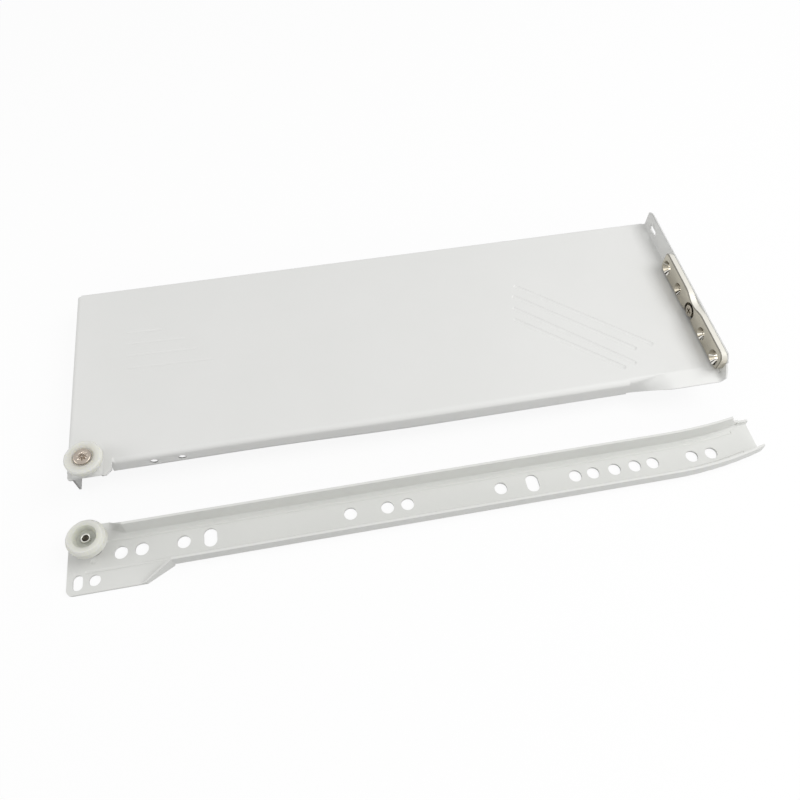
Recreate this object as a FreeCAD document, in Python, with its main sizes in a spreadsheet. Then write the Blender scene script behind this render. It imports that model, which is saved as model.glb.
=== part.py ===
import FreeCAD, Part
import math
import os
import Sketcher

# A drawer side of folded steel, its cabinet runner, their two nylon rollers and the front bracket.
# All sizes are in mm. X runs along both pieces, Y up the drawer side, Z up from the surface they lie on.
# The origin is the centre of the runner's front system hole, on the runner's back face.

doc = FreeCAD.newDocument("drawer_side_and_runner")
sheet = doc.addObject("Spreadsheet::Sheet", "sizes")
V = FreeCAD.Vector
rows = [1]
tree = []
volumes = {}


class Length:
    """A size that carries both its number and its expression in the sheet."""

    def __init__(self, value, text):
        self.value = float(value)
        self.text = text

    def __add__(self, other):
        other = as_length(other)
        return Length(self.value + other.value, "(%s + %s)" % (self.text, other.text))

    def __sub__(self, other):
        other = as_length(other)
        return Length(self.value - other.value, "(%s - %s)" % (self.text, other.text))

    def __mul__(self, factor):
        return Length(self.value * factor, "(%s * %s)" % (self.text, factor))

    def __truediv__(self, factor):
        return Length(self.value / factor, "(%s / %s)" % (self.text, factor))

    def __neg__(self):
        return Length(-self.value, "(0 - %s)" % self.text)

    def __radd__(self, other):
        return as_length(other) + self

    def __rsub__(self, other):
        return as_length(other) - self


def as_length(number):
    if isinstance(number, Length):
        return number
    return Length(number, repr(float(number)))


def size(alias, value, meaning):
    """Write one size into the sheet and return it."""
    row = rows[0]
    sheet.set("A%d" % row, meaning)
    sheet.set("B%d" % row, repr(float(value)))
    sheet.setAlias("B%d" % row, alias)
    rows[0] = row + 1
    return Length(value, "sizes.%s" % alias)


def bind(thing, name, length):
    thing.setExpression(name, as_length(length).text)


# Sizes of the cabinet runner

rail_sheet = size("rail_sheet", 1.2, "runner sheet thickness")
rail_front = size("rail_front", 34, "front edge ahead of the front system hole")
rail_rear = size("rail_rear", 313.3, "rear edge behind the front system hole")
channel_height = size("channel_height", 19, "inside height of the roller track")
upper_depth = size("upper_depth", 11.3, "upper flange depth from the back face")
lower_depth = size("lower_depth", 8, "lower flange depth from the back face")
rail_bend = size("rail_bend", 1.0, "inside bend radius of the track")
flange_front = size("flange_front", 7, "upper flange starts this far ahead of the origin")
flange_rear = size("flange_rear", 302, "upper flange drops to a low lip here")
lip_height = size("lip_height", 4.2, "height of the low lip at the rear of the upper flange")
runout = size("runout", 8.5, "length over which the upper flange unfolds into the flat front")
runout_base = size("runout_base", 5, "the unfolding starts this far above the hole line")
sweep_start = size("sweep_start", 263, "the track starts to curve here")
sweep_radius = size("sweep_radius", 180, "radius of the curved rear of the lower flange and web")
upper_sweep = size("upper_sweep", 265, "radius of the curved rear of the upper flange")
lip_start = size("lip_start", 308.5, "the low lip starts here")
lip_row = size("lip_row", 14.3, "outer face of the low lip above the hole line")
tab_top = size("tab_top", 16.5, "top edge of the flat front")
foot_drop = size("foot_drop", 17.3, "foot's lower edge below the hole line")
foot_end = size("foot_end", 2.5, "foot's level edge ends here")
slope_end = size("slope_end", 15, "foot's slope meets the track here")

# Level width of the slope's strip for each mm of sheet, below and above
SLOPE_LOW = 2.14
SLOPE_HIGH = 0.25

plate_corner = size("plate_corner", 3, "rounded corners of the runner's front")
system_hole = size("system_hole", 3.2, "radius of the holes for system screws")
slot_half = size("slot_half", 1.5, "half the distance between the centres of an upright slot")
hole_places = [size("hole_%s" % word, place, "place of a round hole along the row") for word, place in (
    ("one", -9.7), ("two", 0), ("three", 19.5), ("four", 99.6), ("five", 118), ("six", 128), ("seven", 175.5),
    ("eight", 214.5), ("nine", 224), ("ten", 235.4), ("eleven", 246.3), ("twelve", 256), ("thirteen", 277.4),
    ("fourteen", 288))]
slot_places = [size("slot_%s" % word, place, "place of an upright slot along the row") for word, place in (
    ("front", 32), ("rear", 192))]
foot_row = size("foot_row", 11.6, "foot holes below the hole line")
foot_slot = size("foot_slot", -28.9, "place of the foot's slot")
foot_slot_radius = size("foot_slot_radius", 2.3, "half width of the foot's slot")
foot_slot_half = size("foot_slot_half", 1.4, "half the distance between the centres of the foot's slot")
foot_hole = size("foot_hole", -21.3, "place of the foot's round hole")
foot_hole_radius = size("foot_hole_radius", 2.7, "radius of the foot's round hole")
crease_depth = size("crease_depth", 0.3, "depth of the pressed crease lines")
crease_half = size("crease_half", 0.85, "half width of the pressed crease lines")
crease_row = size("crease_row", 6.6, "upper crease line above the hole line")
lower_crease = size("lower_crease", 7.2, "lower crease line below the hole line")
crease_front = size("crease_front", 25, "lower crease starts this far ahead of the origin")
dimple_row = size("dimple_row", 2.2, "small dimple below the hole line")
dimple_radius = size("dimple_radius", 1.5, "radius of the small dimple")

# Sizes of the two rollers and their rivets

pin_radius = size("pin_radius", 2.0, "radius of both roller rivets")
running_gap = size("running_gap", 0.05, "gap round a turning or sliding piece")
end_gap = size("end_gap", 0.1, "gap at each end of a roller")
roller_width = size("roller_width", 7, "width of the runner's roller")
side_roller_width = size("side_roller_width", 5.8, "width of the side's roller")
rail_roller_radius = size("rail_roller_radius", 8.95, "radius of the runner's roller")
rail_roller_along = size("rail_roller_along", -22.2, "place of the runner's roller along the runner")
rail_roller_up = size("rail_roller_up", 4.7, "runner's roller above the hole line")
bush_radius = size("bush_radius", 4.5, "radius of the spacer bush")
bush_top = size("bush_top", 7.9, "top of the spacer bush")
hub_recess = size("hub_recess", 5.6, "mouth radius of the recess in the runner's roller")
hub_floor = size("hub_floor", 4.3, "floor radius of that recess")
hub_recess_depth = size("hub_recess_depth", 3.0, "depth of the recess in the runner's roller")
rail_head_radius = size("rail_head_radius", 2.3, "head radius of the runner's rivet")
rail_head_height = size("rail_head_height", 1.0, "head height of the runner's rivet")
flush_head_radius = size("flush_head_radius", 3.4, "radius of the flush head in the back of the runner")
flush_head_depth = size("flush_head_depth", 0.8, "depth of the flush head")
side_roller_radius = size("side_roller_radius", 8.8, "radius of the side's roller")
side_recess = size("side_recess", 5.3, "mouth radius of the recess in the side's roller")
side_floor = size("side_floor", 4.6, "floor radius of that recess")
side_recess_depth = size("side_recess_depth", 0.6, "depth of the recess in the side's roller")
side_head_radius = size("side_head_radius", 4.15, "head radius of the side's rivet")
side_head_height = size("side_head_height", 1.1, "head height of the side's rivet")
rail_bevel_in = size("rail_bevel_in", 1.1, "inward bevel on the rims of the runner's roller")
rail_bevel_deep = size("rail_bevel_deep", 1.7, "depth of those bevels")
front_bevel_in = size("front_bevel_in", 0.6, "inward bevel on the face of the side's roller")
back_bevel_in = size("back_bevel_in", 2.2, "inward bevel behind the rim of the side's roller")
back_bevel_deep = size("back_bevel_deep", 2.8, "depth of that bevel")

# Sizes of the drawer side

side_sheet = size("side_sheet", 1, "sheet thickness of the drawer side")
side_length = size("side_length", 335, "length of the drawer side")
side_height = size("side_height", 112, "top edge above the drawer side's lower reference")
side_along = size("side_along", -30.75, "place of the drawer side's rear corner")
side_up = size("side_up", 37.7, "place of the drawer side's lower reference")
side_bend = size("side_bend", 1.5, "inside bend radius of the drawer side")
rear_depth = size("rear_depth", 19, "depth of the rear flange, inward")
front_depth = size("front_depth", 10, "depth of the front flange, outward")
front_bend = size("front_bend", 0.7, "inside bend radius of the front flange")
front_low = size("front_low", 0.5, "front flange reaches this far below the lower reference")
front_top = size("front_top", 1.5, "front flange stops this far below the top edge")
front_bevel = size("front_bevel", 3, "bevel at the front flange's free corners")
base_depth = size("base_depth", 8, "depth of the base flange, inward")
base_under = size("base_under", 1.3, "underside of the base flange")
base_start = size("base_start", 20, "base flange starts here")
hem_depth = size("hem_depth", 5.5, "depth of the folded top edge")
hem_bend = size("hem_bend", 0.6, "inside bend radius of the folded top edge")
lug_drop = size("lug_drop", 5, "lug below the lower reference")
lug_width = size("lug_width", 21.4, "width of the lug")
lug_bevel = size("lug_bevel", 2.5, "bevel at the lug's corner")
lug_corner = size("lug_corner", 1.5, "rounded corner of the lug")
lug_inset = size("lug_inset", 1, "lug's rear edge from the rear corner")
seat_half = size("seat_half", 7.4, "half the width of the raised roller seat")
seat_top = size("seat_top", 10.5, "top of the roller seat above the lower reference")
seat_corner = size("seat_corner", 5, "rounded corners of the roller seat")
seat_rise = size("seat_rise", 0.9, "height of the roller seat")
boss_height = size("boss_height", 2.6, "height of the pressed boss under the roller")
boss_base = size("boss_base", 6.2, "radius of the boss at its foot")
boss_top = size("boss_top", 4.9, "radius of the boss at its top")
side_roller_along = size("side_roller_along", 10.5, "place of the side's roller from the rear corner")
side_roller_up = size("side_roller_up", 1.7, "side's roller above the lower reference")
base_hole_radius = size("base_hole_radius", 1.9, "radius of the holes in the base flange")
base_hole_inward = size("base_hole_inward", 5.4, "holes in the base flange from the outer face")
base_hole_first = size("base_hole_first", 40, "first hole in the base flange")
base_hole_second = size("base_hole_second", 53.5, "second hole in the base flange")
rear_hole_radius = size("rear_hole_radius", 2.2, "radius of the holes in the rear flange")
rear_hole_first = size("rear_hole_first", 20, "first hole in the rear flange")
rear_hole_step = size("rear_hole_step", 64, "distance between holes in the rear flange")
rear_hole_inward = size("rear_hole_inward", 11, "holes in the rear flange from the outer face")
groove_half = size("groove_half", 1.0, "half width of the pressed grooves")
groove_depth = size("groove_depth", 0.35, "depth of the pressed grooves")
front_grooves = size("front_grooves", 240, "the slanting grooves start here")
rear_grooves = size("rear_grooves", 28, "the nearly level grooves start here")
GROOVE_SLOPES = {"front": 0.8, "rear": 0.035}
groove_rows = [size("%s_groove_%s" % (group, word), row, "start of a groove above the lower reference")
               for group, word, row in (
                   ("front", "one", 75.9), ("front", "two", 68.2), ("front", "three", 58.4), ("front", "four", 45.2),
                   ("rear", "one", 79.8), ("rear", "two", 72.2), ("rear", "three", 64.4), ("rear", "four", 56.3))]
groove_runs = [size("%s_run_%s" % (group, word), run, "length of a groove along the side")
               for group, word, run in (
                   ("front", "one", 64), ("front", "two", 54.3), ("front", "three", 49.9), ("front", "four", 43.5),
                   ("rear", "one", 20), ("rear", "two", 32.5), ("rear", "three", 36), ("rear", "four", 48))]

# Sizes of the front bracket and its screw

bracket_middle = size("bracket_middle", 37.6, "bracket's middle above the lower reference")
bracket_half = size("bracket_half", 37.8, "half the bracket's length")
bracket_line = size("bracket_line", 5, "bracket's row of holes from the wall's outer face")
bracket_inner = size("bracket_inner", 0.6, "bracket's inner edge from the wall's outer face")
bracket_outer = size("bracket_outer", 12.4, "bracket's outer edge from the wall's outer face")
bracket_thick = size("bracket_thick", 4, "bracket thickness")
bracket_gap = size("bracket_gap", 0.03, "sliding gap between bracket and flange")
bracket_corner = size("bracket_corner", 2.6, "rounded corners of the bracket")
bracket_base = size("bracket_base", 1, "thickness of the bracket's straight-edged base")
bracket_edge = size("bracket_edge", 0.5, "bevel round the bracket's face")
waist_half = size("waist_half", 8.8, "half the length of the bracket's waist")
waist_floor = size("waist_floor", 4.2, "half the length of the waist's level part")
outer_waist = size("outer_waist", 2.5, "depth of the waist in the outer edge, at the face")
base_waist = size("base_waist", 0.6, "depth of the waist in the outer edge, at the base")
inner_waist = size("inner_waist", 0.2, "depth of the waist in the inner edge")
outer_hole = size("outer_hole", 32, "countersunk holes from the bracket's middle")
outer_hole_radius = size("outer_hole_radius", 2.2, "radius of the countersunk holes")
countersink_radius = size("countersink_radius", 4.1, "radius of the countersinks")
countersink_depth = size("countersink_depth", 1.8, "depth of the countersinks")
inner_hole = size("inner_hole", 16, "small holes from the bracket's middle")
inner_hole_radius = size("inner_hole_radius", 1.7, "radius of the small holes")
inner_sink_radius = size("inner_sink_radius", 3.5, "radius of the small countersinks")
inner_sink_depth = size("inner_sink_depth", 1.5, "depth of the small countersinks")
screw_radius = size("screw_radius", 1.6, "radius of the bracket screw")
screw_head_radius = size("screw_head_radius", 3.2, "head radius of the bracket screw")
screw_head_height = size("screw_head_height", 1.7, "head height of the bracket screw")
screw_tip = size("screw_tip", 2.5, "screw tip beyond the front flange")
screw_gap = size("screw_gap", 0.05, "gap under the screw's head and round its shank")
cross_half = size("cross_half", 1.8, "half the length of the cross recess")
cross_bar = size("cross_bar", 0.38, "half the width of its bars")
cross_depth = size("cross_depth", 1.1, "depth of the cross recess")
adjust = size("adjust", 1.5, "height adjustment up or down")
recess_half = size("recess_half", 4.1, "half width of the screw's recess")
recess_slide = size("recess_slide", 0.7, "half the distance between the recess's centres")
recess_depth = size("recess_depth", 1.6, "depth of the screw's recess")
top_slot = size("top_slot", 100.6, "slot near the top of the front flange")
top_slot_half = size("top_slot_half", 2.3, "half the distance between that slot's centres")
top_slot_radius = size("top_slot_radius", 1.6, "half width of that slot")
top_slot_out = size("top_slot_out", 4, "that slot from the wall's outer face")

doc.recompute()


# Ways to draw and to build

PLANES = {"top": "XY_Plane", "front": "XZ_Plane", "end": "YZ_Plane"}


def new_body(name, x, y, z):
    """One physical piece, placed from the sheet."""
    body = doc.addObject("PartDesign::Body", name)
    body.Label = name
    bind(body, "Placement.Base.x", x)
    bind(body, "Placement.Base.y", y)
    bind(body, "Placement.Base.z", z)
    tree.append(body)
    return body


def origin_part(body, role):
    return [f for f in body.Origin.OriginFeatures if f.Role == role][0]


class Drawing:
    """A sketch with every point placed from the sheet."""

    def __init__(self, body, name, plane, offset=0):
        self.sketch = body.newObject("Sketcher::SketchObject", name)
        self.sketch.AttachmentSupport = [(origin_part(body, PLANES[plane]), "")]
        self.sketch.MapMode = "FlatFace"
        offset = as_length(offset)
        self.sketch.AttachmentOffset = FreeCAD.Placement(V(0, 0, offset.value), FreeCAD.Rotation())
        bind(self.sketch, "AttachmentOffset.Base.z", offset)

    def measure(self, kind, places, length):
        length = as_length(length)
        index = self.sketch.addConstraint(Sketcher.Constraint(kind, *places, length.value))
        self.sketch.setExpression("Constraints[%d]" % index, length.text)

    def place(self, piece, end, x, y):
        self.measure("DistanceX", (-1, 1, piece, end), x)
        self.measure("DistanceY", (-1, 1, piece, end), y)

    def join(self, kind, *places):
        self.sketch.addConstraint(Sketcher.Constraint(kind, *places))

    def outline(self, corners):
        """A closed outline; a corner (x, y, radius) is rounded and must be square."""
        count = len(corners)
        points = [(as_length(c[0]), as_length(c[1])) for c in corners]
        arrive = []
        leave = []
        middles = []
        for i, (x, y) in enumerate(points):
            if len(corners[i]) < 3:
                arrive.append((x, y))
                leave.append((x, y))
                middles.append(None)
                continue
            radius = as_length(corners[i][2])
            ends = []
            for other in (points[i - 1], points[(i + 1) % count]):
                dx = other[0].value - x.value
                dy = other[1].value - y.value
                if abs(dx) > abs(dy):
                    ends.append((x + radius if dx > 0 else x - radius, y))
                else:
                    ends.append((x, y + radius if dy > 0 else y - radius))
            arrive.append(ends[0])
            leave.append(ends[1])
            level = abs(ends[0][1].value - y.value) < 1e-9
            middles.append((ends[0][0], ends[1][1]) if level else (ends[1][0], ends[0][1]))
        lines = []
        for i in range(count):
            a = leave[i]
            b = arrive[(i + 1) % count]
            start = V(a[0].value, a[1].value, 0)
            finish = V(b[0].value, b[1].value, 0)
            line = self.sketch.addGeometry(Part.LineSegment(start, finish), False)
            lines.append(line)
            self.place(line, 1, a[0], a[1])
        for i in range(count):
            before = lines[i - 1]
            after = lines[i]
            if middles[i] is None:
                self.join("Coincident", before, 2, after, 1)
                continue
            self.place(before, 2, arrive[i][0], arrive[i][1])
            cx, cy = middles[i][0].value, middles[i][1].value
            a = (arrive[i][0].value - cx, arrive[i][1].value - cy)
            b = (leave[i][0].value - cx, leave[i][1].value - cy)
            left_turn = a[0] * b[1] - a[1] * b[0] > 0
            first, last = (a, b) if left_turn else (b, a)
            circle = Part.Circle(V(cx, cy, 0), V(0, 0, 1), math.hypot(a[0], a[1]))
            angles = (math.atan2(first[1], first[0]), math.atan2(last[1], last[0]))
            arc = self.sketch.addGeometry(Part.ArcOfCircle(circle, angles[0], angles[1]), False)
            self.join("Coincident", before, 2, arc, 1 if left_turn else 2)
            self.join("Coincident", after, 1, arc, 2 if left_turn else 1)
            self.measure("DistanceX", (-1, 1, arc, 3), middles[i][0])
        return self

    def circle(self, x, y, radius):
        x, y, radius = as_length(x), as_length(y), as_length(radius)
        round_hole = Part.Circle(V(x.value, y.value, 0), V(0, 0, 1), radius.value)
        piece = self.sketch.addGeometry(round_hole, False)
        self.place(piece, 3, x, y)
        self.measure("Radius", (piece,), radius)
        return self

    def slot(self, first, last, radius):
        """A round-ended slot between two centres."""
        first = [as_length(v) for v in first]
        last = [as_length(v) for v in last]
        radius = as_length(radius)
        a = V(first[0].value, first[1].value, 0)
        b = V(last[0].value, last[1].value, 0)
        way = math.atan2(b.y - a.y, b.x - a.x)
        side = V(-math.sin(way), math.cos(way), 0) * radius.value
        quarter = math.pi / 2
        near = Part.ArcOfCircle(Part.Circle(a, V(0, 0, 1), radius.value), way + quarter, way + 3 * quarter)
        far = Part.ArcOfCircle(Part.Circle(b, V(0, 0, 1), radius.value), way - quarter, way + quarter)
        near = self.sketch.addGeometry(near, False)
        far = self.sketch.addGeometry(far, False)
        lower = self.sketch.addGeometry(Part.LineSegment(a - side, b - side), False)
        upper = self.sketch.addGeometry(Part.LineSegment(b + side, a + side), False)
        self.join("Tangent", near, 2, lower, 1)
        self.join("Tangent", lower, 2, far, 1)
        self.join("Tangent", far, 2, upper, 1)
        self.join("Tangent", upper, 2, near, 1)
        self.place(near, 3, first[0], first[1])
        self.place(far, 3, last[0], last[1])
        self.measure("Radius", (near,), radius)
        return self


def grown(body, feature, more):
    """Recompute and make sure the feature added or removed material as it should."""
    before = volumes.get(body.Name, 0.0)
    body.Tip = feature
    doc.recompute()
    after = body.Shape.Volume
    volumes[body.Name] = after
    if more and after <= before + 1e-6:
        raise ValueError("%s added nothing" % feature.Name)
    if not more and after >= before - 1e-6:
        raise ValueError("%s removed nothing" % feature.Name)
    return feature


def pad(body, name, drawing, length, backward=False, lean=0):
    """Add a thickness; lean slants the walls inward by that many degrees."""
    feature = body.newObject("PartDesign::Pad", name)
    feature.Profile = drawing.sketch
    bind(feature, "Length", length)
    feature.Reversed = backward
    if lean:
        feature.TaperAngle = -lean
    drawing.sketch.Visibility = False
    return grown(body, feature, True)


def cut(body, name, drawing, length, backward=False, lean=0):
    """Cut to a depth; lean slants the walls inward by that many degrees."""
    feature = body.newObject("PartDesign::Pocket", name)
    feature.Profile = drawing.sketch
    bind(feature, "Length", length)
    feature.Reversed = backward
    if lean:
        feature.TaperAngle = -lean
    drawing.sketch.Visibility = False
    return grown(body, feature, False)


def turn(body, name, drawing):
    """Turn a profile of radius and height all the way round the body's own Z axis."""
    feature = body.newObject("PartDesign::Revolution", name)
    feature.Profile = drawing.sketch
    feature.ReferenceAxis = (origin_part(body, "Z_Axis"), [""])
    feature.Angle = 360
    drawing.sketch.Visibility = False
    return grown(body, feature, True)


def between(body, name, first, last):
    """Join two outlines of the same form by a straight-sided loft."""
    feature = body.newObject("PartDesign::AdditiveLoft", name)
    feature.Profile = first.sketch
    feature.Sections = [last.sketch]
    feature.Ruled = True
    first.sketch.Visibility = False
    last.sketch.Visibility = False
    return grown(body, feature, True)


def cone(body, name, kind, plane, place, low, high, height):
    """Add or take away a cone that stands on a plane; place holds its sheet offsets in that plane."""
    feature = body.newObject("PartDesign::%sCone" % kind, name)
    feature.AttachmentSupport = [(origin_part(body, PLANES[plane]), "")]
    feature.MapMode = "FlatFace"
    for axis, value in zip("xyz", place):
        bind(feature, "AttachmentOffset.Base.%s" % axis, value)
    bind(feature, "Radius1", low)
    bind(feature, "Radius2", high)
    bind(feature, "Height", height)
    return grown(body, feature, kind == "Additive")


# Cabinet runner

rail = new_body("runner_rail", 0, 0, 0)
inner = channel_height / 2
outer = inner + rail_sheet
rail_outer_bend = rail_bend + rail_sheet


def track_section(drawing):
    """The runner's channel: web on the surface, a deep upper flange and a shallower lower one."""
    return drawing.outline([
        (outer, 0, rail_outer_bend), (outer, upper_depth), (inner, upper_depth), (inner, rail_sheet, rail_bend),
        (-inner, rail_sheet, rail_bend), (-inner, lower_depth), (-outer, lower_depth),
        (-outer, 0, rail_outer_bend)])


section = track_section(Drawing(rail, "track_section", "end", -flange_front))
pad(rail, "straight_track", section, sweep_start + flange_front)

# The rear of the track follows an arc, so the drawer runs down into its closed place.
# The upper flange curves less, so the track narrows there.


def sweep_section(name, corners, radius, angle, more=True):
    """Turn a section about an upright line that lies a radius above the hole line."""
    drawing = Drawing(rail, name + "_section", "end", sweep_start)
    line = Part.LineSegment(V(radius.value, 0, 0), V(radius.value, 10, 0))
    axis = drawing.sketch.addGeometry(line, True)
    drawing.place(axis, 1, radius, 0)
    drawing.place(axis, 2, radius, 10)
    for outline in corners:
        drawing.outline(outline)
    kind = "Revolution" if more else "Groove"
    feature = rail.newObject("PartDesign::%s" % kind, name)
    feature.Profile = drawing.sketch
    feature.ReferenceAxis = (drawing.sketch, ["Axis0"])
    feature.Angle = angle
    drawing.sketch.Visibility = False
    return grown(rail, feature, more)


sweep_section("lower_sweep", [[
    (crease_row, 0), (crease_row, rail_sheet), (-inner, rail_sheet, rail_bend), (-inner, lower_depth),
    (-outer, lower_depth), (-outer, 0, rail_outer_bend)]], sweep_radius, 19)
sweep_section("upper_flange_sweep", [[
    (outer, 0, rail_outer_bend), (outer, upper_depth), (inner, upper_depth), (inner, rail_sheet, rail_bend),
    (0, rail_sheet), (0, 0)]], upper_sweep, 12)

# Flat plate at the front, with the foot
plate = Drawing(rail, "front_plate_outline", "top").outline([
    (-rail_front, -foot_drop, plate_corner), (foot_end, -foot_drop), (slope_end, -outer), (slope_end, 0),
    (-flange_front, 0), (-flange_front, runout_base), (-flange_front - runout, runout_base),
    (-flange_front - runout, tab_top), (-rail_front, tab_top, plate_corner)])
pad(rail, "front_plate", plate, rail_sheet)

# The upper flange unfolds into the flat front plate
folded = Drawing(rail, "folded_end", "end", -flange_front).outline([
    (runout_base, 0), (outer, 0, rail_outer_bend), (outer, upper_depth), (inner, upper_depth),
    (inner, rail_sheet, rail_bend), (runout_base, rail_sheet)])
flat_step = (tab_top - inner + rail_bend) / 2
unfolded = Drawing(rail, "unfolded_end", "end", -flange_front - runout).outline([
    (runout_base, 0), (tab_top - flat_step * 2, 0), (tab_top - flat_step, 0), (tab_top, 0), (tab_top, rail_sheet),
    (tab_top - flat_step, rail_sheet), (tab_top - flat_step * 2, rail_sheet), (runout_base, rail_sheet)])
between(rail, "flange_runout", folded, unfolded)

# The lower flange follows the foot's slope and rises along it
clear = Drawing(rail, "lower_flange_start", "front").outline([
    (-flange_front - 1, rail_sheet), (slope_end, rail_sheet), (slope_end, lower_depth + 1),
    (-flange_front - 1, lower_depth + 1)])
cut(rail, "lower_flange_stop", clear, channel_height, True)
strip = Drawing(rail, "slope_flange_outline", "top").outline([
    (foot_end, -foot_drop), (slope_end, -outer), (slope_end, -inner), (slope_end - rail_sheet * SLOPE_HIGH, -inner),
    (foot_end - rail_sheet * SLOPE_LOW, -foot_drop)])
pad(rail, "slope_flange", strip, lower_depth)
clear = Drawing(rail, "slope_rise", "front").outline([
    (foot_end - rail_sheet * SLOPE_LOW - 1, rail_sheet), (slope_end, lower_depth), (slope_end, lower_depth + 1),
    (foot_end - rail_sheet * SLOPE_LOW - 1, lower_depth + 1)])
cut(rail, "slope_flange_rise", clear, channel_height, True)

# The upper flange drops to a low lip, and the rear ends square
fall = (upper_depth - lip_height) / 3
step = (lip_start - flange_rear) / 6
clear = Drawing(rail, "upper_flange_end", "front").outline([
    (flange_rear, upper_depth), (flange_rear + step, lip_height + fall * 1.8),
    (flange_rear + step * 3, lip_height + fall * 0.6), (lip_start, lip_height), (rail_rear + 40, lip_height),
    (rail_rear + 40, upper_depth + 1), (flange_rear, upper_depth + 1)])
cut(rail, "flange_fall", clear, channel_height * 2)
clear = Drawing(rail, "lip_clearing", "top").outline([
    (lip_start, inner), (rail_rear + 60, inner), (rail_rear + 60, channel_height * 3), (lip_start, channel_height * 3)])
cut(rail, "lip_room", clear, upper_depth + 1, True)
lip = Drawing(rail, "lip_section", "end", lip_start - 1).outline([
    (lip_row, 0, rail_outer_bend), (lip_row, lip_height), (lip_row - rail_sheet, lip_height),
    (lip_row - rail_sheet, rail_sheet, rail_bend), (0, rail_sheet), (0, 0)])
pad(rail, "low_lip", lip, rail_rear - lip_start + 1)
clear = Drawing(rail, "rear_end_outline", "top").outline([
    (rail_rear, -channel_height), (rail_rear + 60, -channel_height), (rail_rear + 60, sweep_radius),
    (rail_rear, sweep_radius)])
cut(rail, "rear_end", clear, upper_depth + 1, True)

# Screw holes
holes = Drawing(rail, "hole_row", "top")
for place in hole_places:
    holes.circle(place, 0, system_hole)
for place in slot_places:
    holes.slot((place, -slot_half), (place, slot_half), system_hole)
cut(rail, "screw_holes", holes, rail_sheet, True)
holes = Drawing(rail, "foot_holes_outline", "top")
holes.slot((foot_slot, -foot_row - foot_slot_half), (foot_slot, -foot_row + foot_slot_half), foot_slot_radius)
holes.circle(foot_hole, -foot_row, foot_hole_radius)
holes.circle(rail_roller_along, rail_roller_up, pin_radius)
cut(rail, "foot_holes", holes, rail_sheet, True)
cone(rail, "flush_head_seat", "Subtractive", "top", (rail_roller_along, rail_roller_up, 0), flush_head_radius,
     pin_radius, flush_head_depth)

# Pressed crease lines that stiffen the web, and a small dimple under the roller
crease = Drawing(rail, "crease_lines", "top", rail_sheet)
crease.slot((-flange_front - runout, crease_row), (sweep_start, crease_row), crease_half)
crease.slot((-crease_front, -lower_crease), (sweep_start, -lower_crease), crease_half)
crease.circle(rail_roller_along, -dimple_row, dimple_radius)
cut(rail, "straight_creases", crease, crease_depth, lean=60)
CREASE_FLOOR = 0.4
for name, row, radius in (("lower", -lower_crease, sweep_radius), ("upper", crease_row, upper_sweep)):
    sweep_section("%s_swept_crease" % name, [[
        (row - crease_half * CREASE_FLOOR, rail_sheet - crease_depth),
        (row + crease_half * CREASE_FLOOR, rail_sheet - crease_depth), (row + crease_half, rail_sheet),
        (row + crease_half, rail_sheet + 0.5), (row - crease_half, rail_sheet + 0.5), (row - crease_half, rail_sheet)]],
        radius, 9 if name == "upper" else 13, False)

# Rivet, spacer bush and roller of the runner

rail_roller_low = bush_top + end_gap
rail_roller_high = rail_roller_low + roller_width
rail_head_low = rail_roller_high - hub_recess_depth + end_gap
axle = new_body("runner_rivet", rail_roller_along, rail_roller_up, 0)
profile = Drawing(axle, "profile", "front").outline([
    (0, 0), (flush_head_radius, 0), (pin_radius, flush_head_depth), (pin_radius, rail_head_low),
    (rail_head_radius, rail_head_low), (rail_head_radius, rail_head_low + rail_head_height - 0.4),
    (rail_head_radius - 0.9, rail_head_low + rail_head_height), (0, rail_head_low + rail_head_height)])
turn(axle, "stepped_rivet", profile)

bush = new_body("runner_spacer", rail_roller_along, rail_roller_up, rail_sheet)
profile = Drawing(bush, "profile", "front").outline([
    (pin_radius, 0), (bush_radius, 0), (bush_radius, bush_top - rail_sheet), (pin_radius, bush_top - rail_sheet)])
turn(bush, "spacer_bush", profile)


def roller_profile(body, radius, width, back, face, dish):
    """Half section of a roller: its bore, the bevels behind and in front, and the dish in its face."""
    return Drawing(body, "profile", "front").outline([
        (pin_radius + running_gap, 0), (radius - back[0], 0), (radius, back[1]), (radius, width - face[1]),
        (radius - face[0], width), (dish[0], width), (dish[1], width - dish[2]),
        (pin_radius + running_gap, width - dish[2])])


wheel = new_body("runner_roller", rail_roller_along, rail_roller_up, rail_roller_low)
rim = (rail_bevel_in, rail_bevel_deep)
turn(wheel, "roller", roller_profile(wheel, rail_roller_radius, roller_width, rim, rim,
                                    (hub_recess, hub_floor, hub_recess_depth)))

# Drawer side, lying on its rear flange with the outer face up

side = new_body("side_panel", side_along, side_up, rear_depth)
fold = side_bend + side_sheet
hem_fold = hem_bend + side_sheet
wall = Drawing(side, "wall_section", "end", fold).outline([
    (base_under, 0, fold), (base_under, -base_depth), (base_under + side_sheet, -base_depth),
    (base_under + side_sheet, -side_sheet, side_bend), (side_height - side_sheet, -side_sheet, hem_bend),
    (side_height - side_sheet, -hem_depth), (side_height, -hem_depth), (side_height, 0, hem_fold)])
pad(side, "folded_wall", wall, side_length - fold * 2)
clear = Drawing(side, "base_flange_start", "front", -side_height / 2).outline([
    (fold - 1, -side_sheet), (fold - 1, -base_depth - 1), (base_start, -base_depth - 1), (base_start, -side_sheet)])
cut(side, "base_flange_stop", clear, side_height / 2 + 5, True)
lug = Drawing(side, "lug_outline", "top", -side_sheet).outline([
    (lug_inset, -lug_drop, lug_corner), (lug_width - lug_bevel, -lug_drop), (lug_width, -lug_drop + lug_bevel),
    (lug_width, 12), (fold, 12), (fold, 0), (lug_inset, 0)])
pad(side, "roller_lug", lug, side_sheet)
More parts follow.
